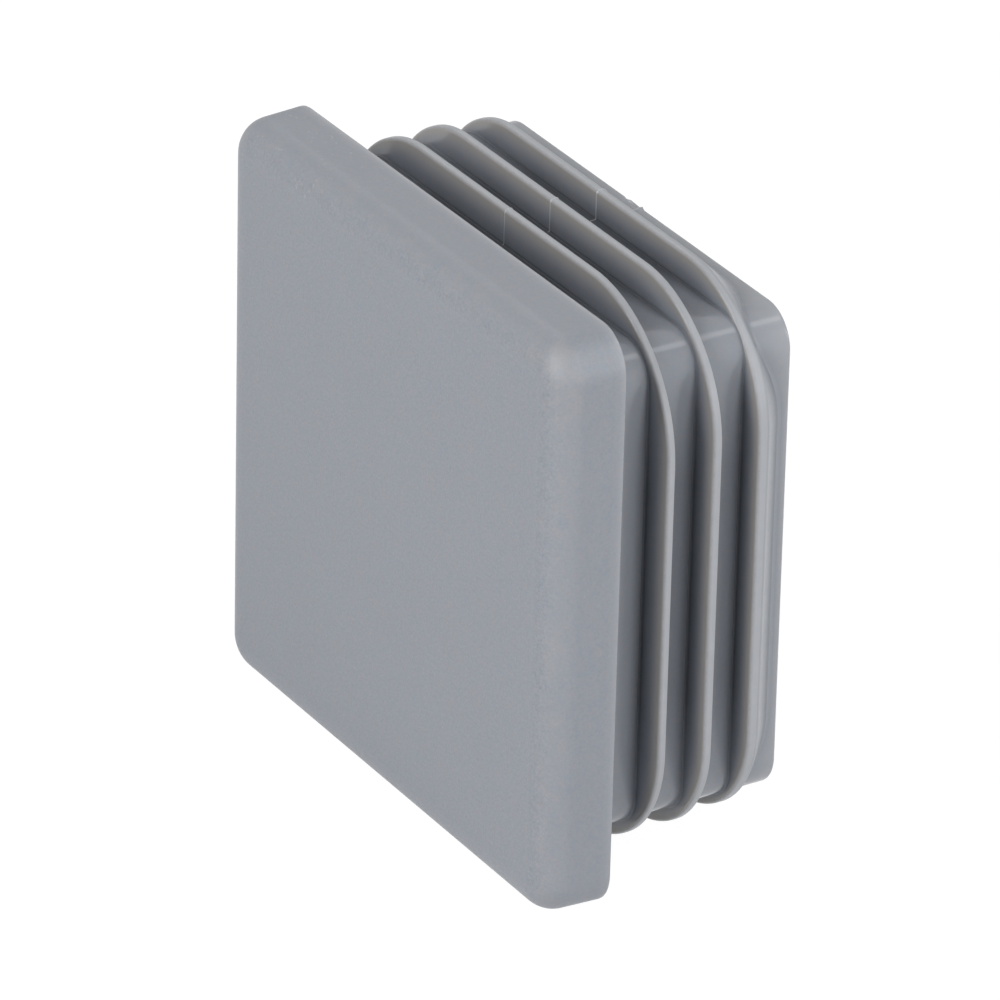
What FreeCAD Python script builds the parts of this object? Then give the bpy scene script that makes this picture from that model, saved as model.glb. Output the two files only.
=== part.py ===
import FreeCAD, Part
import math
import os

import Sketcher

# Square tube end cap, one moulded piece: a thick head, a hollow plug and thin fins that grip the tube.
# Millimetres. The plug's axis is Y, with the head's outer face towards -Y, and +Z is up.
# The origin is the centre of the shoulder plane, where the cap seats on the end of its tube.

NODE = "end_cap"
FIN_COUNT = 3

SIZES = {
    # the head is the square plate that covers the end of the tube
    "head_side": 50.0,
    "head_thickness": 6.0,
    "head_corner_radius": 3.65,
    "head_edge_radius": 2.7,
    "head_draft": 2.8,
    "shoulder_edge_radius": 0.25,
    # the plug is the hollow square that goes into the tube
    "plug_side": 42.1,
    "plug_length": 17.7,
    "plug_corner_radius": 3.2,
    "plug_end_radius": 0.25,
    "plug_wall": 2.0,
    "face_wall": 3.0,
    "hollow_corner_radius": 1.5,
    "hollow_floor_radius": 0.8,
    "hollow_draft": 1.0,
    # the fins stand round the plug, each a little lower and thicker than the one before it
    "fin_first": 4.67,
    "fin_pitch": 4.33,
    "fin_1_height": 3.0,
    "fin_2_height": 2.78,
    "fin_3_height": 2.5,
    "fin_1_corner_radius": 11.3,
    "fin_2_corner_radius": 10.4,
    "fin_3_corner_radius": 10.3,
    "fin_1_rim": 0.62,
    "fin_2_rim": 0.7,
    "fin_3_rim": 0.9,
    "fin_edge_radius": 0.28,
    "fin_back_draft": 4.0,
    "fin_root_sink": 0.4,
    # the last fin is backed by a ramp that leads the plug into the tube
    "ramp_angle": 45.0,
}

# smallest corner radius left where an outline shrinks, and how near an edge lies to its plane
LEAST_CORNER = 0.2
ON_PLANE = 1e-4


def make_sheet(doc):
    """Puts every driving size in a sheet, one aliased cell each."""
    sheet = doc.addObject("Spreadsheet::Sheet", "sizes")
    for row, (name, value) in enumerate(SIZES.items(), start=1):
        sheet.set("A%d" % row, name)
        sheet.set("B%d" % row, str(value))
        sheet.setAlias("B%d" % row, name)
    doc.recompute()
    return sheet


def origin_plane(body, role):
    """The body's own origin plane with this role."""
    return next(item for item in body.Origin.OriginFeatures if item.Role == role)


def rounded_square(body, name, at_y, side, radius):
    """A sketch of a centred square with round corners, across the plug's axis at at_y."""
    sketch = body.newObject("Sketcher::SketchObject", name)
    sketch.AttachmentSupport = [(origin_plane(body, "XZ_Plane"), "")]
    sketch.MapMode = "FlatFace"
    sketch.setExpression("AttachmentOffset.Base.z", "-1 * (%s)" % at_y)

    # drawn roughly first; the constraints below then give it its real size
    half = 10.0
    corner = 2.0
    flat = half - corner
    normal = FreeCAD.Vector(0, 0, 1)
    ends = [
        ((-flat, -half), (flat, -half)),
        ((half, -flat), (half, flat)),
        ((flat, half), (-flat, half)),
        ((-half, flat), (-half, -flat)),
    ]
    outline = [Part.LineSegment(FreeCAD.Vector(*a, 0), FreeCAD.Vector(*b, 0)) for a, b in ends]
    for quarter, (x, y) in enumerate([(flat, -flat), (flat, flat), (-flat, flat), (-flat, -flat)]):
        circle = Part.Circle(FreeCAD.Vector(x, y, 0), normal, corner)
        start = math.radians(90 * quarter - 90)
        outline.append(Part.ArcOfCircle(circle, start, start + math.radians(90)))
    sketch.addGeometry(outline, False)

    rules = []
    for line in range(4):
        arc = line + 4
        rules.append(Sketcher.Constraint("Tangent", line, 2, arc, 1))
        rules.append(Sketcher.Constraint("Tangent", arc, 2, (line + 1) % 4, 1))
    rules += [Sketcher.Constraint("Horizontal", line) for line in (0, 2)]
    rules += [Sketcher.Constraint("Vertical", line) for line in (1, 3)]
    rules += [Sketcher.Constraint("Equal", 4, arc) for arc in (5, 6, 7)]
    rules.append(Sketcher.Constraint("Symmetric", 0, 1, 2, 1, -1, 1))
    sketch.addConstraint(rules)

    driven = [
        (Sketcher.Constraint("DistanceX", 3, 1, 1, 1, 2 * half), side),
        (Sketcher.Constraint("DistanceY", 0, 1, 2, 2, 2 * half), side),
        (Sketcher.Constraint("Radius", 4, corner), radius),
    ]
    for rule, size in driven:
        index = sketch.addConstraint(rule)
        sketch.setExpression("Constraints[%d]" % index, size)
    return sketch


def pad(body, name, sketch, length, towards_tail, taper=None):
    """A pad of the sketch along the plug's axis, towards the tail or towards the head."""
    feature = body.newObject("PartDesign::Pad", name)
    feature.Profile = sketch
    feature.Reversed = towards_tail
    feature.setExpression("Length", length)
    if taper:
        feature.setExpression("TaperAngle", taper)
    return feature


def edges_across(shape, y):
    """Names of the edges that lie in the plane at y."""
    names = []
    for number, edge in enumerate(shape.Edges, start=1):
        points = [vertex.Point for vertex in edge.Vertexes] + [edge.CenterOfMass]
        if all(abs(point.y - y) < ON_PLANE for point in points):
            names.append("Edge%d" % number)
    return names


def round_edges(doc, body, name, base, y, radius, widest=None):
    """Fillets the edges at y, all of them or those that reach out to half the widest side."""
    doc.recompute()
    names = edges_across(base.Shape, y)
    if widest is not None:
        reach = [edge_reach(base.Shape.getElement(item)) for item in names]
        names = [item for item, far in zip(names, reach) if abs(far - widest / 2) < ON_PLANE]
    feature = body.newObject("PartDesign::Fillet", name)
    feature.Base = (base, names)
    feature.setExpression("Radius", radius)
    return feature


def edge_reach(edge):
    """How far an edge reaches from the plug's axis along X or Z."""
    box = edge.BoundBox
    return max(abs(box.XMin), abs(box.XMax), abs(box.ZMin), abs(box.ZMax))


def add_head(doc, body):
    """The head, drafted from its shoulder to a soft-edged outer face."""
    outline = rounded_square(body, "head_outline", "0", "sizes.head_side", "sizes.head_corner_radius")
    block = pad(body, "head_block", outline, "sizes.head_thickness", False, "-1 * sizes.head_draft")
    face = -SIZES["head_thickness"]
    front = round_edges(doc, body, "head_edge", block, face, "sizes.head_edge_radius")
    return round_edges(doc, body, "shoulder_edge", front, 0.0, "sizes.shoulder_edge_radius")


def add_plug(doc, body):
    """The plug's outside, a straight square with a softened end."""
    outline = rounded_square(body, "plug_outline", "0", "sizes.plug_side", "sizes.plug_corner_radius")
    block = pad(body, "plug_block", outline, "sizes.plug_length", True)
    end = SIZES["plug_length"]
    return round_edges(doc, body, "plug_end", block, end, "sizes.plug_end_radius")


def add_fin(doc, body, number):
    """One fin: a thin square plate with a round front edge, thicker towards its root at the back."""
    name = "fin_%d" % number
    height, radius, rim = ["sizes.%s_%s" % (name, size) for size in ("height", "corner_radius", "rim")]
    side = "(sizes.plug_side + 2 * %s)" % height
    front = "(sizes.fin_first + %d * sizes.fin_pitch)" % (number - 1)
    back = "(%s + %s)" % (front, rim)

    plate = pad(body, name + "_plate", rounded_square(body, name + "_outline", front, side, radius), rim, True)
    front_y = SIZES["fin_first"] + (number - 1) * SIZES["fin_pitch"]
    widest = SIZES["plug_side"] + 2 * SIZES[name + "_height"]
    round_edges(doc, body, name + "_edge", plate, front_y, "sizes.fin_edge_radius", widest)

    # the back shrinks evenly all round until it lies just inside the plug's wall
    drop = "(%s + sizes.fin_root_sink)" % height
    if number == FIN_COUNT:
        run = "(%s / tan(sizes.ramp_angle * 1 deg))" % drop
    else:
        run = "(%s * tan(sizes.fin_back_draft * 1 deg))" % drop
    top = rounded_square(body, name + "_back", back, side, radius)
    root = rounded_square(body, name + "_root", "%s + %s" % (back, run), "%s - 2 * %s" % (side, drop),
                          "max(%s - %s; %s)" % (radius, drop, LEAST_CORNER))
    slope = body.newObject("PartDesign::AdditiveLoft", name + "_slope")
    slope.Profile = top
    slope.Sections = [root]
    slope.Ruled = True
    return slope


def add_hollow(doc, body):
    """The hollow, open at the plug's end, with drafted walls and a rounded floor behind the face."""
    outline = rounded_square(body, "hollow_outline", "sizes.plug_length",
                             "sizes.plug_side - 2 * sizes.plug_wall", "sizes.hollow_corner_radius")
    doc.recompute()
    before = body.Shape.Volume
    hollow = body.newObject("PartDesign::Pocket", "hollow")
    hollow.Profile = outline
    hollow.Reversed = True
    hollow.setExpression("Length", "sizes.plug_length + sizes.head_thickness - sizes.face_wall")
    hollow.setExpression("TaperAngle", "-1 * sizes.hollow_draft")
    doc.recompute()
    opening = (SIZES["plug_side"] - 2 * SIZES["plug_wall"]) ** 2
    depth = SIZES["plug_length"] + SIZES["head_thickness"] - SIZES["face_wall"]
    removed = before - hollow.Shape.Volume
    if not 0.5 * opening * depth < removed < opening * depth:
        raise RuntimeError("the hollow doesn't go into the plug")
    floor = SIZES["face_wall"] - SIZES["head_thickness"]
    return round_edges(doc, body, "hollow_floor", hollow, floor, "sizes.hollow_floor_radius")


def check(doc, body):
    """Stops if any object failed to build or the finished shape isn't one sound solid."""
    for item in doc.Objects:
        if "Invalid" in item.State or "Error" in item.State:
            raise RuntimeError("%s failed: %s" % (item.Name, item.State))
    shape = body.Shape
    if shape.isNull() or not shape.isValid() or len(shape.Solids) != 1:
        raise RuntimeError("%s isn't one valid solid" % body.Label)


def main():
    doc = FreeCAD.newDocument("tube_end_cap")
    make_sheet(doc)
    body = doc.addObject("PartDesign::Body", NODE)
    body.Label = NODE
    add_head(doc, body)
    add_plug(doc, body)
    for number in range(1, FIN_COUNT + 1):
        add_fin(doc, body, number)
    body.Tip = add_hollow(doc, body)
    body.Placement = FreeCAD.Placement(FreeCAD.Vector(0, 0, 0), FreeCAD.Rotation())
    doc.recompute()
    check(doc, body)

    os.makedirs("parts", exist_ok=True)
    body.Shape.exportStep("parts/%s.step" % NODE)
    solid = body.Shape.Solids[0]
    box = solid.optimalBoundingBox(False, False)
    print("%s: %.1f x %.1f x %.1f mm, %.0f mm3, centre of mass at y = %.2f" % (
        NODE, box.XLength, box.YLength, box.ZLength, solid.Volume, solid.CenterOfMass.y))


main()
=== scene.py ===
"""The square tube end cap as it looks: one satin grey moulding, standing on a white studio floor."""
import math

import bpy
import numpy as np
from mathutils import Matrix, Vector


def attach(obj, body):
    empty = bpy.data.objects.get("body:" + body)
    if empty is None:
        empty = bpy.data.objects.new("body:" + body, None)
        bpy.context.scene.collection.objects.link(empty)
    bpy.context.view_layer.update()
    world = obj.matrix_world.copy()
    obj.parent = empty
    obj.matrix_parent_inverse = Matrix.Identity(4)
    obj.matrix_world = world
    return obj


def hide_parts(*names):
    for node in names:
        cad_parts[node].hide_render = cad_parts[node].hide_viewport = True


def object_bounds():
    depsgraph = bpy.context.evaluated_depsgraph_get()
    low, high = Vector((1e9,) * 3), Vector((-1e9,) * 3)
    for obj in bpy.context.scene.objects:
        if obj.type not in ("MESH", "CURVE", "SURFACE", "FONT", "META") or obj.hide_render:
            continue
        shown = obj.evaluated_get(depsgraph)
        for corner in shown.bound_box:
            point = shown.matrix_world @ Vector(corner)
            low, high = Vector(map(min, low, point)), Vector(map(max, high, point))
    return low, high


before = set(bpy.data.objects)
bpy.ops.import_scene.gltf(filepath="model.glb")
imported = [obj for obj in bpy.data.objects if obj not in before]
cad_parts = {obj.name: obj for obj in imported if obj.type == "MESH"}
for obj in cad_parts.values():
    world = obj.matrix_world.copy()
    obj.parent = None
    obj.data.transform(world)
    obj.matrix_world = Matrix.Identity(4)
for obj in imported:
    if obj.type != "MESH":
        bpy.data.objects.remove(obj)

CAD_LOW, CAD_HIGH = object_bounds()

# Sizes are in millimetres unless metres are named, and places are in the moulding's own frame: Y runs along
# the plug into the tube, the head's face looks towards -Y, Z is up and the shoulder plane is at y = 0.
MM = 0.001
NODE = "end_cap"
QUARTER = math.pi / 2

FACE_Y = CAD_LOW.y / MM
END_Y = CAD_HIGH.y / MM

# the head; the centres of its round corners keep their place while its sides lean
HEAD_REACH = CAD_HIGH.x / MM
HEAD_CORNER_PLACE = 21.6
HEAD_EDGE = 2.7
HEAD_EDGE_STEPS = 18
HEAD_DRAFT = math.radians(2.8)
SHOULDER_EDGE = 0.05

# the plug, and the small rounds where it meets the shoulder and the fins and where it ends
PLUG_HALF = 21.05
PLUG_CORNER = 3.2
ROOT_ROUND = 0.12
END_ROUND = 0.25
# it cooled a little out of square: by this much sideways for each mm along it and across it
PLUG_SKEW = 0.00035

# each fin: y of its front, height over the plug, corner radius, rim from front to back
FINS = [
    (4.67, 3.0, 11.3, 0.67),
    (9.0, 2.78, 10.4, 0.72),
    (13.33, 2.5, 10.3, 0.9),
]
# each fin's rim is this much thinner along the top, and its corner between there and +X this much rounder
THINNER_ABOVE = [0.0, 0.05, 0.24]
ROUNDER_CORNER = [0.5, 0.65, 0.85]
FIN_EDGE = 0.28
FIN_EDGE_STEPS = 7
# the first fins' backs lean a little towards their roots, and the last one's is a ramp with a rounder edge
FIN_BACK_EDGE = 0.08
FIN_BACK_SLOPE = math.tan(math.radians(4))
RAMP_BACK_EDGE = 0.32
RAMP_SLOPE = 1.0
RAMP_FOOT_ROUND = 0.6

# the hollow in the plug, with its drafted walls and its floor
HOLLOW_HALF = 19.05
HOLLOW_CORNER_PLACE = 17.55
HOLLOW_SLOPE = math.tan(math.radians(1))
HOLLOW_FLOOR_Y = -3.0
HOLLOW_FLOOR_ROUND = 0.8
HOLLOW_LEAST_CORNER = 0.3
MOUTH_ROUND = 0.12

# the mould's halves met on x = 0, and left a hair of flash there: half its width and its height
FLASH_HALF = 0.085
FLASH_HEIGHT = 0.06
# its place along X and its strength on each fin, and how far beside it the skin bends to follow it
FLASH_X = [0.0, -0.2, -0.25]
FLASH_STRENGTH = [0.8, 1.05, 1.2]
FLASH_BEND = 2.5
# how strong it is on the wall, on a fin's front, on the round edges and on a rim
FLASH_ON_WALL, FLASH_ON_FRONT, FLASH_ON_EDGE, FLASH_ON_RIM = 0.8, 0.9, 1.0, 1.2
# how far it strays onto the wall before the last fin
FLASH_STRAY = 0.5
# the ragged stretch of the plug's end beside the flash: each x with how far the edge rises there
RAGGED_END = [
    (-2.75, 0.0),
    (-2.68, -0.12),
    (-2.2, -0.05),
    (-1.85, 0.09),
    (-0.6, 0.0),
    (-0.15, 0.13),
    (0.1, 0.0),
]
# how far from the end it reaches
RAGGED_DEPTH = 0.5

# how fast the shade of a root fades along the wall, and the distances from the root that show it
ROOT_SHADE = 0.14
SHADE_PLACES = (0.15, 0.28, 0.5, 0.9)
# how dark the roots are at the plug's corners; along its flat sides they are 1
ROOT_AT_CORNER = 0.45
# how shaded the walls before each fin are at the sides, and the walls along the top and the ramp
SIDE_SHADE = [0.06, 0.43, 0.42]
TOP_SHADE = 0.65
RAMP_SHADE = 0.45
# a fin's front: how sharply its shade and its glow fade, how much lighter its shade is along the top,
# and the share of its height where the glow starts
FRONT_FADE = 1.5
FRONT_LIGHTER = 0.65
GLOW_START = 0.3

# how pale the edges are, partly from wear and partly as a painted highlight: round the face, at the
# shoulder, on the fins' backs, at the plug's end and at the hollow's mouth
FACE_RIM = 0.07
SHOULDER_RIM = 0.5
BACK_RIM = 0.6
END_RIM = 0.7
MOUTH_RIM = 0.5

# extra rays lie at these degrees from each parting line, and on the flash itself at these radians
PARTING_STEPS = np.arange(-5, 16) * 0.5
FLASH_TURNS = np.array([-0.0035, -0.0013, 0.0013, 0.0035])


def rays():
    """Angles of the rays from the plug's axis, on which every ring of the skin has its points."""
    # in each eighth the rays lie closer together along the fins' corners, and closest along the plug's
    fin_turn, plug_turn, middle = np.radians([27.5, 40.0, 45.0])
    eighth = np.concatenate([
        np.linspace(0, fin_turn, 11, endpoint=False),
        np.linspace(fin_turn, plug_turn, 10, endpoint=False),
        np.linspace(plug_turn, middle, 12, endpoint=False),
        [middle],
    ])
    quarter = np.concatenate([eighth, QUARTER - eighth])
    around = [quarter + QUARTER * turn for turn in range(4)]
    for parting in (QUARTER, 3 * QUARTER):
        around.append(parting + np.radians(PARTING_STEPS))
        around.append(parting + FLASH_TURNS)
    return np.unique(np.round(np.concatenate(around) % (2 * math.pi), 5))


ANGLES = rays()
ACROSS, UP = np.cos(ANGLES), np.sin(ANGLES)
# 1 on the top side and 0 on the others, changing over at the corners
ABOVE = np.clip((UP - np.abs(ACROSS)) * 3 + 0.5, 0, 1)
# 1 along the flat sides and 0 at the corners
FLAT = np.clip(np.abs(np.abs(ACROSS) - np.abs(UP)) / 0.45 - 0.15, 0, 1)
# how dark the roots are round the plug: more light reaches them at its corners
ROOT_LEVEL = ROOT_AT_CORNER + (1 - ROOT_AT_CORNER) * FLAT


def reach(half, corner):
    """How far a centred rounded square lies from the axis, along each ray."""
    turn = np.abs((ANGLES + QUARTER / 2) % QUARTER - QUARTER / 2)
    flat = half - corner
    towards_corner = flat * (np.cos(turn) + np.sin(turn))
    arc = towards_corner + np.sqrt(np.maximum(towards_corner**2 - 2 * flat**2 + corner**2, 0))
    return np.where(half * np.tan(turn) <= flat, half / np.cos(turn), arc)


def plug(out=0.0):
    """The plug's outline, moved out by this much."""
    return reach(PLUG_HALF + out, PLUG_CORNER + out)


def depth_inside(points, half, corner):
    """How deep points lie inside a rounded square, measured square to its outline."""
    beyond = np.abs(points[:, [0, 2]]) - np.reshape(half - corner, (-1, 1))
    return corner - np.linalg.norm(np.maximum(beyond, 0), axis=1) - np.minimum(beyond.max(axis=1), 0)


def blend(start, stop, share):
    """The place this share of the way from start to stop."""
    return start + (stop - start) * share


def arc(out, y, radius, start, stop, steps):
    """Points (out, y) of an arc about a centre, its angles in degrees from -Y towards the outside."""
    for angle in np.radians(np.linspace(start, stop, steps + 1)):
        yield out + radius * math.sin(angle), y - radius * math.cos(angle)


class Skin:
    """The moulding's surface as rings, from the middle of the face over the outside into the hollow.

    Each point has tones. Rim is a pale edge, partly wear and partly a painted highlight; glow is painted
    warm light that stands for light through a thin fin; root is painted shade; bevel is the head's soft
    edge, where a painted sheen and highlight go; flash is the parting line and satin is a duller finish.
    """

    def __init__(self):
        self.rings = []
        self.tones = {name: [] for name in ("rim", "glow", "root", "bevel", "flash", "satin")}

    def ring(self, out, y, **tones):
        """Adds a ring that lies out from the axis on each ray, at y, with its tones. Gives its points."""
        points = np.stack([out * ACROSS, np.broadcast_to(y, out.shape), out * UP], axis=1)
        self.rings.append(points)
        for name, values in self.tones.items():
            values.append(np.zeros(len(points)) + tones.get(name, 0))
        return points


def add_root(skin, y, start, stop, flash=0.0):
    """The small round in the angle between the plug's wall and what stands on it, about a centre at y."""
    for out, along in arc(ROOT_ROUND, 0, ROOT_ROUND, start, stop, 5):
        skin.ring(plug(out), y + along, flash=flash, root=ROOT_LEVEL, satin=1)


def add_head(skin):
    """The face, its soft edge, the drafted side and the shoulder with its edge."""
    shoulder_out = HEAD_REACH - SHOULDER_EDGE
    lean, rise = math.sin(HEAD_DRAFT), math.cos(HEAD_DRAFT)
    side = shoulder_out * rise + SHOULDER_EDGE * lean + SHOULDER_EDGE
    edge_y = FACE_Y + HEAD_EDGE
    edge_out = (side - HEAD_EDGE + edge_y * lean) / rise
    side_turn = 90 - math.degrees(HEAD_DRAFT)

    def outline(out):
        return reach(out, out - HEAD_CORNER_PLACE)

    face = outline(edge_out)
    for share in (0.04, 0.12, 0.25, 0.38, 0.5, 0.62, 0.74, 0.84, 0.92, 0.97, 0.985):
        skin.ring(face * share, FACE_Y)
    for step, (out, y) in enumerate(arc(edge_out, edge_y, HEAD_EDGE, 0, side_turn, HEAD_EDGE_STEPS)):
        bevel = math.sin(math.pi * step / HEAD_EDGE_STEPS)
        skin.ring(outline(out), y, bevel=bevel, rim=FACE_RIM if step == 0 else 0)

    # the side has a painted highlight where it nears the shoulder's edge, most of all along the top, and so
    # has the shoulder's edge
    top_y = edge_y - HEAD_EDGE * lean
    top_out = edge_out + HEAD_EDGE * rise
    foot_y = -SHOULDER_EDGE - SHOULDER_EDGE * lean
    foot_out = shoulder_out + SHOULDER_EDGE * rise
    for share, rim in ((0.04, 0), (0.3, 0), (0.55, 0), (0.72, 0), (0.86, 0.12), (0.97, 0.4)):
        pale = rim * (1 + ABOVE)
        skin.ring(outline(blend(top_out, foot_out, share)), blend(top_y, foot_y, share), rim=pale)
    for out, y in arc(shoulder_out, -SHOULDER_EDGE, SHOULDER_EDGE, side_turn, 180, 5):
        skin.ring(outline(out), y, rim=SHOULDER_RIM * (1 + ABOVE))

    inner = plug(ROOT_ROUND)
    for share in (0.04, 0.5, 0.96):
        skin.ring(blend(outline(shoulder_out), inner, share), 0.0)
    add_root(skin, ROOT_ROUND, 0, -90)


def add_wall(skin, start, number):
    """The plug's wall up to a fin's front, shaded, and darker where it nears the fin's root."""
    front = FINS[number][0]
    stop = front - SHADE_PLACES[-1]
    at_side = SIDE_SHADE[number] * (1 - ABOVE) * FLAT
    at_top = TOP_SHADE * ABOVE * np.clip(FLAT * 2 - 1, 0, 1)
    shade = at_side + at_top
    for share in (0.02, 0.25, 0.5, 0.75):
        skin.ring(plug(), blend(start, stop, share), root=shade)
    # the head keeps the light off the first fin's root all round
    level = ROOT_LEVEL if number else 1.0
    for distance in reversed(SHADE_PLACES):
        strays = number == len(FINS) - 1 and distance <= FLASH_STRAY
        root = np.maximum(shade, math.exp(-distance / ROOT_SHADE) * level)
        skin.ring(plug(), front - distance, root=root, flash=FLASH_ON_WALL if strays else 0)


def add_fin(skin, number):
    """One fin: its root, flat front, round front edge, rim and back. Gives where the wall starts again."""
    front, height, corner, rim = FINS[number]
    corner = corner + ROUNDER_CORNER[number] * ((ACROSS > 0) & (UP > 0))
    half = PLUG_HALF + height
    last = number == len(FINS) - 1
    slope = RAMP_SLOPE if last else FIN_BACK_SLOPE
    back_edge = RAMP_BACK_EDGE if last else FIN_BACK_EDGE
    back_turn = QUARTER - math.atan(slope)
    back_run = back_edge * math.tan(back_turn / 2)
    back = front + rim - THINNER_ABOVE[number] * ABOVE

    add_root(skin, front - ROOT_ROUND, -90, -180, flash=FLASH_ON_WALL)
    inner = plug(ROOT_ROUND)
    outer = reach(half - FIN_EDGE, corner - FIN_EDGE)
    # painted shade at each front's root, and a painted warm glow towards its tip
    for share in (0.03, 0.12, 0.24, 0.36, 0.5, 0.64, 0.76, 0.88, 0.97):
        root = (1 - share) ** FRONT_FADE * ROOT_LEVEL * (1 - FRONT_LIGHTER * ABOVE)
        glow = (max(share - GLOW_START, 0) / (1 - GLOW_START)) ** FRONT_FADE
        skin.ring(blend(inner, outer, share), front, flash=FLASH_ON_FRONT, root=root, glow=glow)
    # the round front edge and the rim turn pale: partly wear, partly a painted highlight
    for step, (out, y) in enumerate(arc(-FIN_EDGE, front + FIN_EDGE, FIN_EDGE, 0, 90, FIN_EDGE_STEPS)):
        rise = step / FIN_EDGE_STEPS
        edge = reach(half + out, corner + out)
        skin.ring(edge, y, flash=FLASH_ON_EDGE, rim=rise, glow=1 - rise, satin=rise)
    for share in (0.1, 0.5, 0.9):
        y = blend(front + FIN_EDGE, back - back_run, share)
        skin.ring(reach(half, corner), y, flash=FLASH_ON_RIM, rim=1, satin=1)

    back_rim = BACK_RIM if last else 1
    for out, y in arc(-back_edge, back - back_run, back_edge, 90, 90 + math.degrees(back_turn), 6):
        skin.ring(reach(half + out, corner + out), y, flash=FLASH_ON_EDGE, rim=back_rim, satin=1)

    foot = RAMP_FOOT_ROUND * (1 - math.cos(math.atan(slope))) if last else ROOT_ROUND
    outer = reach(half - back_edge, corner - back_edge)
    inner = plug(foot)
    for share in (0.06, 0.2, 0.4, 0.6, 0.8, 0.94):
        shade = RAMP_SHADE * (1 - ABOVE) * share if last else 0
        pale = BACK_RIM * (1 - share) ** 2
        points = skin.ring(blend(outer, inner, share), back, rim=pale, root=shade, satin=1)
        points[:, 1] = back + slope * depth_inside(points, half, corner)

    wall = plug()
    on_wall = np.stack([wall * ACROSS, wall, wall * UP], axis=1)
    meets_wall = back + slope * depth_inside(on_wall, half, corner)
    if last:
        lean = math.atan(slope)
        run = RAMP_FOOT_ROUND * math.tan(lean / 2)
        for out, y in arc(RAMP_FOOT_ROUND, 0, RAMP_FOOT_ROUND, math.degrees(lean) - 90, -90, 4):
            skin.ring(plug(out), meets_wall + run + y, satin=1)
        return meets_wall + run
    add_root(skin, meets_wall + ROOT_ROUND, 0, -90)
    return meets_wall + ROOT_ROUND


def add_tail(skin, start):
    """The plug's wall behind the ramp, its round end edge, its end face and the hollow with its floor."""
    # towards its end the plug turns pale: a painted highlight, with some wear at the edge
    for share in (0.05, 0.35, 0.65, 0.95):
        y = blend(start, END_Y - END_ROUND, share)
        skin.ring(plug(), y, rim=blend(0.1, END_RIM, share), flash=FLASH_ON_WALL)
    for out, y in arc(-END_ROUND, END_Y - END_ROUND, END_ROUND, 90, 180, 6):
        skin.ring(plug(out), y, rim=END_RIM, flash=FLASH_ON_EDGE)

    def outline(half):
        return reach(half, half - HOLLOW_CORNER_PLACE)

    mouth = outline(HOLLOW_HALF + MOUTH_ROUND)
    for share in (0.08, 0.5, 0.92):
        skin.ring(blend(plug(-END_ROUND), mouth, share), END_Y)
    for out, y in arc(HOLLOW_HALF + MOUTH_ROUND, END_Y - MOUTH_ROUND, MOUTH_ROUND, 180, 270, 4):
        skin.ring(outline(out), y, rim=MOUTH_RIM)
    floor_half = HOLLOW_HALF - (END_Y - HOLLOW_FLOOR_Y) * HOLLOW_SLOPE
    fillet_y = HOLLOW_FLOOR_Y + HOLLOW_FLOOR_ROUND
    for share in (0.02, 0.25, 0.5, 0.75, 0.98):
        y = blend(END_Y - MOUTH_ROUND, fillet_y, share)
        skin.ring(outline(blend(HOLLOW_HALF, floor_half, share)), y)

    # towards the floor the outline keeps its least corner and then only shrinks
    least = HOLLOW_CORNER_PLACE + HOLLOW_LEAST_CORNER
    for out, y in arc(floor_half - HOLLOW_FLOOR_ROUND, fillet_y, HOLLOW_FLOOR_ROUND, 90, 0, 7):
        floor = outline(max(out, least)) - max(least - out, 0)
        skin.ring(floor, y)
    for share in (0.98, 0.8, 0.55, 0.3, 0.08):
        skin.ring(floor * share, HOLLOW_FLOOR_Y)


def raise_flash(skin):
    """Bends the rays onto the parting line and lifts the skin there, at the top and at the bottom."""
    rings = np.array(skin.rings)
    flash = np.array(skin.tones["flash"])
    top = int(np.argmin(np.abs(ANGLES - QUARTER)))
    out, y = rings[:, top, 2], rings[:, top, 1]
    along_out, along_y = np.gradient(out), np.gradient(y)
    length = np.maximum(np.hypot(along_out, along_y), 1e-9)
    fronts = [fin[0] for fin in FINS]
    line = np.interp(y, fronts, FLASH_X)
    flash = flash * np.interp(y, fronts, FLASH_STRENGTH)[:, None]
    x = rings[:, :, 0]
    near = np.clip(1 - np.abs(x) / FLASH_BEND, 0, 1)
    shifted = line[:, None] * near * near * (3 - 2 * near) * (flash > 0)
    ridge = np.clip(1 - (x / FLASH_HALF) ** 2, 0, 1) * flash
    height = ridge * FLASH_HEIGHT
    rings[:, :, 0] += shifted
    rings[:, :, 1] -= height * (along_out / length)[:, None]
    rings[:, :, 2] += np.sign(rings[:, :, 2]) * height * (along_y / length)[:, None]
    skin.tones["flash"] = ridge

    # the ragged end beside it shows only at the top
    at_end = np.clip(1 - (END_Y - rings[:, :, 1]) / RAGGED_DEPTH, 0, 1)
    at_top = rings[:, :, 2] > PLUG_HALF - RAGGED_DEPTH
    rings[:, :, 2] += at_end * at_top * np.interp(x, *zip(*RAGGED_END))
    rings[:, :, 1] = np.minimum(rings[:, :, 1], END_Y)
    skin.rings = rings


def skew_plug(skin):
    """Leaves the plug slightly out of square, more towards its end."""
    pull = PLUG_SKEW * np.maximum(skin.rings[:, :, 1], 0)
    x, z = skin.rings[:, :, 0].copy(), skin.rings[:, :, 2].copy()
    skin.rings[:, :, 0] -= pull * z
    skin.rings[:, :, 2] -= pull * x


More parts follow.
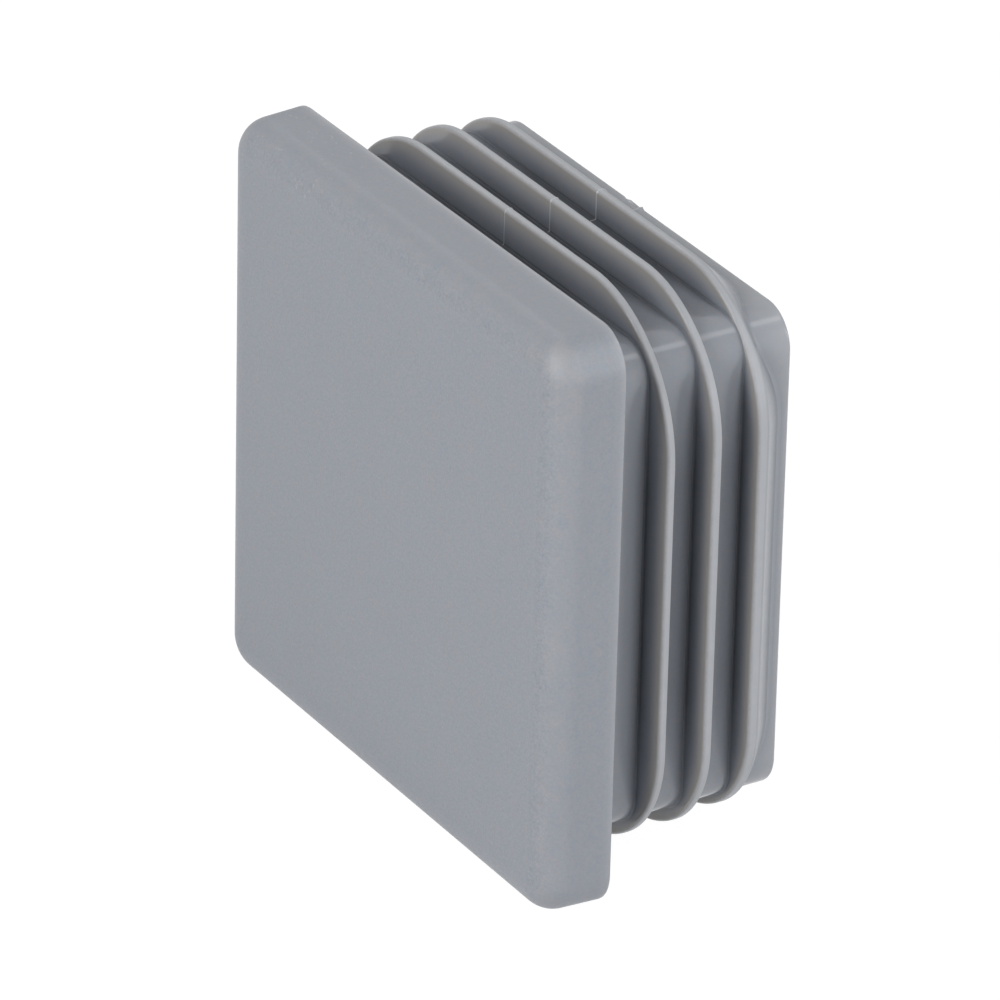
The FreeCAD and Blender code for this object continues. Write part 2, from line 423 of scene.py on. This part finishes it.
def skin_mesh(skin):
    """The rings as one closed mesh in metres, with its tones as attributes."""
    count, around = len(skin.rings), len(ANGLES)
    middles = [[0, FACE_Y, 0], [0, HOLLOW_FLOOR_Y, 0]]
    points = np.concatenate([np.array(skin.rings).reshape(-1, 3), middles]) * MM
    face_middle, floor_middle = count * around, count * around + 1
    faces = []
    for ring in range(count - 1):
        here, there = ring * around, (ring + 1) * around
        for ray in range(around):
            after = (ray + 1) % around
            faces.append((here + ray, here + after, there + after, there + ray))
    last = (count - 1) * around
    for ray in range(around):
        after = (ray + 1) % around
        faces.append((face_middle, after, ray))
        faces.append((floor_middle, last + ray, last + after))
    mesh = bpy.data.meshes.new("end_cap_moulding")
    mesh.from_pydata([tuple(point) for point in points], [], faces)
    for name, tone in skin.tones.items():
        values = np.concatenate([np.array(tone).ravel(), [0, 0]]).astype(np.float32)
        mesh.attributes.new(name, "FLOAT", "POINT").data.foreach_set("value", values)
    mesh.shade_smooth()
    mesh.update()
    return mesh


def moulding():
    """The whole cap as one piece."""
    skin = Skin()
    add_head(skin)
    start = ROOT_ROUND
    for number in range(len(FINS)):
        add_wall(skin, start, number)
        start = add_fin(skin, number)
    add_tail(skin, start)
    raise_flash(skin)
    skew_plug(skin)
    piece = bpy.data.objects.new("end_cap_moulding", skin_mesh(skin))
    bpy.context.scene.collection.objects.link(piece)
    level = piece.modifiers.new("level_flats", "WEIGHTED_NORMAL")
    level.mode = "FACE_AREA"
    return piece


class Value:
    """A node's output. An operator on it adds a Math node."""

    def __init__(self, tree, socket):
        self.tree = tree
        self.socket = socket

    def joined(self, operation, first, second):
        return self.tree.node("Math", {"operation": operation}, {0: first, 1: second})

    def larger(self, other):
        return self.joined("MAXIMUM", self, other)

    def __add__(self, other):
        return self.joined("ADD", self, other)

    def __sub__(self, other):
        return self.joined("SUBTRACT", self, other)

    def __rsub__(self, other):
        return self.joined("SUBTRACT", other, self)

    def __mul__(self, other):
        return self.joined("MULTIPLY", self, other)

    __radd__ = __add__
    __rmul__ = __mul__


class Tree:
    """The nodes of a material or a world."""

    def __init__(self, owner):
        owner.use_nodes = True
        self.nodes = owner.node_tree.nodes
        self.links = owner.node_tree.links
        self.nodes.clear()

    def node(self, kind, settings=None, inputs=None, output=0):
        """Adds a node with its settings and its sockets' values or links. Gives one of its outputs."""
        made = self.nodes.new("ShaderNode" + kind)
        for name, setting in (settings or {}).items():
            setattr(made, name, setting)
        for name, value in (inputs or {}).items():
            if isinstance(value, Value):
                self.links.new(value.socket, made.inputs[name])
            else:
                made.inputs[name].default_value = value
        return Value(self, made.outputs[output]) if made.outputs else None

    def mix(self, first, second, share):
        """Two colours mixed."""
        return self.node("Mix", {"data_type": "RGBA"}, {"Factor": share, 6: first, 7: second}, 2)

    def scaled(self, vector, scale):
        """A colour or a vector times a number."""
        return self.node("VectorMath", {"operation": "SCALE"}, {0: vector, "Scale": scale})

    def between(self, value, low, high, start=0.0, stop=1.0):
        """A value's place from low to high, as a share from start to stop."""
        ends = {"Value": value, "From Min": low, "From Max": high, "To Min": start, "To Max": stop}
        return self.node("MapRange", {"interpolation_type": "SMOOTHSTEP"}, ends)


GREY_COOL = (0.311, 0.344, 0.392, 1)
GREY_PINK = (0.334, 0.344, 0.378, 1)
# the warm grey of the tint, and of the painted sheen on the head's bevel
GREY_WARM = (0.352, 0.359, 0.383, 1)
# the pale grey of the specks, and of the edges, where it is partly wear and partly a painted highlight
GREY_RIM = (0.475, 0.49, 0.52, 1)
# painted warm light, standing for light that comes through the thin fins
GREY_GLOW = (0.418, 0.389, 0.356, 1)
# painted shade, for the fins' roots, the shaded walls and the ramp
GREY_ROOT = (0.08, 0.09, 0.104, 1)
GREY_FLASH = (0.56, 0.58, 0.6, 1)

# how much each noise lightens and darkens the grey, and the painted highlight that lifts the bevel
FINE_GRAIN_DEPTH = 0.3
GRAIN_DEPTH = 0.22
MOTTLE_DEPTH = 0.1
CLOUD_DEPTH = 0.04
BEVEL_HIGHLIGHT = 0.05
# the grain that is left on the head's sides, from this far behind the face, and on the plug
SIDE_GRAIN = 0.42
SIDE_GRAIN_RUN = 1.1
PLUG_GRAIN = 0.2

# the noise levels between which one tint gives way to the next
TINT_LIMITS = (0.35, 0.65)
# the share of warm grey in the head's flats, a random tint, and how much more its bevel has, a painted sheen
WARM_FLATS = 0.1
WARM_BEVEL = 0.6
# from here to here across and up is the head's corner between +X and the top, where a painted sheen makes
# its bevel warmer than the rest
CORNER_START, CORNER_STOP = 17.0, 22.0
# the noise levels where a speck starts and where it is whole, and the specks' cover
SPECK_LIMITS = (0.83, 0.9)
SPECKS = 0.5
# what raises the noise, and so the number of specks, towards the head's corner between -X and the top
DUST = 0.14
DUST_STOP = -15.0
# how much of the grey the darkest root's shade covers, and the least that mottling leaves of a rim or a glow
ROOT_COVER = 0.95
LEAST_COVER = 0.85

# roughness of the head, least and most, and what the plug's polish takes off it and a satin edge adds
HEAD_ROUGHNESS = (0.42, 0.52)
POLISH = 0.33
SATIN = 0.25
# the head's faint relief, and the share of it that is left on the plug
BUMP_STRENGTH = 0.35
BUMP_HEIGHT = 0.004
PLUG_BUMP = 0.02


def grey_plastic():
    """Satin grey moulded plastic: fine grain, faint mottling, and painted light and shade: pale rims, warm
    glowing fins, shaded roots and a sheen on the head's bevel.
    """
    material = bpy.data.materials.new("satin_grey_plastic")
    tree = Tree(material)
    place = tree.scaled(tree.node("TexCoord", output="Object"), 1 / MM)

    def noise(scale, detail=2.0):
        return tree.node("TexNoise", {}, {"Vector": place, "Scale": scale, "Detail": detail}, "Fac")

    def tone(name):
        return tree.node("Attribute", {"attribute_name": name}, output="Fac")

    def axis(name):
        return tree.node("SeparateXYZ", {}, {0: place}, name)

    def swing(value, depth):
        return (value - 0.5) * depth

    # from coarse to fine; their values lie mostly between 0.3 and 0.7
    clouds = noise(0.12, 4.0)
    blotches = noise(0.45, 3.0)
    mottle = noise(1.1, 3.0)
    tint = noise(1.9)
    grain = noise(3.0, 1.0)
    fine_grain = noise(6.0, 1.0)
    across, along, above = axis("X"), axis("Y"), axis("Z")
    # 1 on the plug and 0 on the head, with the change just before the shoulder
    polished = tree.between(along, -0.3, 0.1)
    uneven = tree.between(mottle, 0.2, 0.8, LEAST_COVER, 1.0)

    # the plain grey, with its drift between a cool and a warmer tint and its grain
    colour = tree.mix(GREY_COOL, GREY_PINK, tree.between(tint * 0.7 + grain * 0.3, *TINT_LIMITS))
    # a painted sheen on the bevel, warmest at the head's corner between +X and the top
    rises = tree.between(above, CORNER_START, CORNER_STOP)
    corner_sheen = tree.between(across, CORNER_START, CORNER_STOP) * rises
    warm = tone("bevel") * (corner_sheen + WARM_BEVEL) + WARM_FLATS
    colour = tree.mix(colour, GREY_WARM, tree.between(blotches * 0.6 + mottle * 0.4, *TINT_LIMITS) * warm)
    grainy = tree.between(along, FACE_Y, FACE_Y + SIDE_GRAIN_RUN, 1.0, SIDE_GRAIN)
    grainy = grainy * (1.0 - polished * (1.0 - PLUG_GRAIN))
    grained = swing(fine_grain, FINE_GRAIN_DEPTH) + swing(grain, GRAIN_DEPTH) + swing(mottle, MOTTLE_DEPTH)
    # the bevel is lifted by a painted highlight
    level = grained * grainy + swing(clouds, CLOUD_DEPTH) + tone("bevel") * BEVEL_HIGHLIGHT + 1.0
    colour = tree.scaled(colour, level)

    # pale specks on the head, then what the skin's tones say
    dusty = rises * tree.between(across, 0.0, DUST_STOP) * DUST
    specks = tree.between(grain + swing(blotches, 0.5) + dusty, *SPECK_LIMITS) * (1.0 - polished)
    colour = tree.mix(colour, GREY_RIM, specks * SPECKS)
    # a painted warm glow near the fins' tips, standing for light through the thin plastic
    colour = tree.mix(colour, GREY_GLOW, tone("glow") * uneven)
    # painted shade at the fins' roots, on the walls between them and on the ramp
    colour = tree.mix(colour, GREY_ROOT, tone("root") * ROOT_COVER)
    # pale edges: partly wear, partly a painted highlight that is stronger along the top
    colour = tree.mix(colour, GREY_RIM, tone("rim") * uneven)
    colour = tree.mix(colour, GREY_FLASH, tree.between(tone("flash"), 0.05, 1.0))

    least, most = HEAD_ROUGHNESS
    roughness = tree.between(mottle * 0.5 + grain * 0.5, 0.3, 0.7, least, most)
    roughness = roughness - polished * POLISH + tone("satin") * SATIN
    height = (grain + mottle * 2.0) * (1.0 - polished * (1.0 - PLUG_BUMP))
    relief = {"Strength": BUMP_STRENGTH, "Distance": BUMP_HEIGHT * MM, "Height": height}
    surface = tree.node("BsdfPrincipled", {}, {
        "Base Color": colour,
        "Roughness": roughness,
        "Normal": tree.node("Bump", {}, relief, "Normal"),
        "IOR": 1.49,
    })
    tree.node("OutputMaterial", {}, {"Surface": surface})
    return material


# the floor lies this far under the cap, and its side is in metres
FLOOR_DROP = 0.01
FLOOR_SIDE = 4.0
FLOOR_WHITE = 0.8
# where the floor is seen, this share of it glows, at this level, which keeps the cap's shadow faint
FLOOR_GLOW = 0.9
GLOW_LEVEL = 1.09


def seen_directly(tree):
    """1 for the rays that show the surroundings: from the camera, off gloss and through glass."""
    camera, gloss, glass = [
        tree.node("LightPath", output="Is %s Ray" % kind) for kind in ("Camera", "Glossy", "Transmission")
    ]
    return camera.larger(gloss).larger(glass)


def white_floor():
    """A white floor just under the cap that keeps a faint shadow."""
    mesh = bpy.data.meshes.new("floor")
    half, z = FLOOR_SIDE / 2, CAD_LOW.z - FLOOR_DROP * MM
    corners = [(-half, -half, z), (half, -half, z), (half, half, z), (-half, half, z)]
    mesh.from_pydata(corners, [], [(0, 1, 2, 3)])
    floor = bpy.data.objects.new("floor", mesh)
    bpy.context.scene.collection.objects.link(floor)
    material = bpy.data.materials.new("white_floor")
    tree = Tree(material)
    board = tree.node("BsdfDiffuse", {}, {"Color": (FLOOR_WHITE, FLOOR_WHITE, FLOOR_WHITE, 1)})
    glow = tree.node("Emission", {}, {"Color": (1, 1, 1, 1), "Strength": GLOW_LEVEL})
    shown = tree.node("MixShader", {}, {0: seen_directly(tree) * FLOOR_GLOW, 1: board, 2: glow})
    tree.node("OutputMaterial", {}, {"Surface": shown})
    mesh.materials.append(material)


def white_surround():
    """The world: white where it is seen, and otherwise dark, so that only the lamps light the cap."""
    world = bpy.data.worlds.new("white_surround")
    bpy.context.scene.world = world
    tree = Tree(world)
    dark = tree.node("Background", {}, {"Color": (0, 0, 0, 1), "Strength": 1.0})
    white = tree.node("Background", {}, {"Color": (1, 1, 1, 1), "Strength": 1.0})
    shown = tree.node("MixShader", {}, {0: seen_directly(tree), 1: dark, 2: white})
    tree.node("OutputWorld", {}, {"Surface": shown})


# each softbox: azimuth and elevation in degrees, width, height and distance in metres, and its level
# (at level 1 it alone shows a colour as it is written, on a surface that faces it)
SOFTBOXES = {
    "front_high": (0, 40, 0.32, 0.5, 0.8, 0.354),
    "front_low": (20, 16, 0.32, 0.45, 0.8, 0.316),
    "side_high": (111, 51, 0.3, 0.4, 0.8, 0.205),
    "side_low": (102, 13, 0.3, 0.32, 0.8, 0.21),
    "rear_low": (141, 16, 0.34, 0.4, 0.8, 0.18),
    "rear_bar": (150, 55, 0.3, 0.12, 0.8, 0.031),
    "back": (-110, 45, 0.3, 0.5, 0.8, 0.11),
}


def direction(azimuth, elevation):
    """The direction towards the camera or a lamp: azimuth 0 is -Y, and 90 is +X."""
    turn, lift = math.radians(azimuth), math.radians(elevation)
    return Vector((math.sin(turn) * math.cos(lift), -math.cos(turn) * math.cos(lift), math.sin(lift)))


def add_softboxes():
    """The lamps, each facing the cap."""
    for name, (azimuth, elevation, width, height, distance, level) in SOFTBOXES.items():
        lamp = bpy.data.lights.new(name, "AREA")
        lamp.shape = "ELLIPSE"
        lamp.size = width
        lamp.size_y = height
        lamp.energy = level * (math.pi * distance) ** 2
        box = bpy.data.objects.new(name, lamp)
        bpy.context.scene.collection.objects.link(box)
        towards = direction(azimuth, elevation)
        box.location = towards * distance
        box.rotation_euler = towards.to_track_quat("Z", "Y").to_euler()
        box.visible_camera = False


# the camera's place round the aim, both in the moulding's frame, and its lens on a sensor of this width
CAMERA_AZIMUTH = 57.654
CAMERA_ELEVATION = 27.812
CAMERA_ROLL = math.radians(1.4125)
CAMERA_DISTANCE = 624.98
CAMERA_LENS = 286.186
CAMERA_SENSOR = 36
AIM = Vector((2.2006, 3.4628, -0.0123))
# how near it sees, in metres
CAMERA_NEAR = 0.01


def add_camera():
    """The camera at the photograph's place, turned a little about its own axis."""
    back = direction(CAMERA_AZIMUTH, CAMERA_ELEVATION)
    right = Vector((0, 0, 1)).cross(back).normalized()
    up = back.cross(right)
    leaned_up = up * math.cos(CAMERA_ROLL) - right * math.sin(CAMERA_ROLL)
    leaned_right = leaned_up.cross(back)
    camera = bpy.data.objects.new("camera", bpy.data.cameras.new("camera"))
    bpy.context.scene.collection.objects.link(camera)
    turn = Matrix((leaned_right, leaned_up, back)).transposed()
    camera.matrix_world = Matrix.Translation((AIM + back * CAMERA_DISTANCE) * MM) @ turn.to_4x4()
    camera.data.sensor_width = CAMERA_SENSOR
    camera.data.lens = CAMERA_LENS
    camera.data.clip_start = CAMERA_NEAR
    bpy.context.scene.camera = camera


cap = moulding()
cap.data.materials.append(grey_plastic())
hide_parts(NODE)
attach(cap, "root")

white_floor()
white_surround()
add_softboxes()
add_camera()
bpy.context.scene.view_settings.view_transform = "Standard"
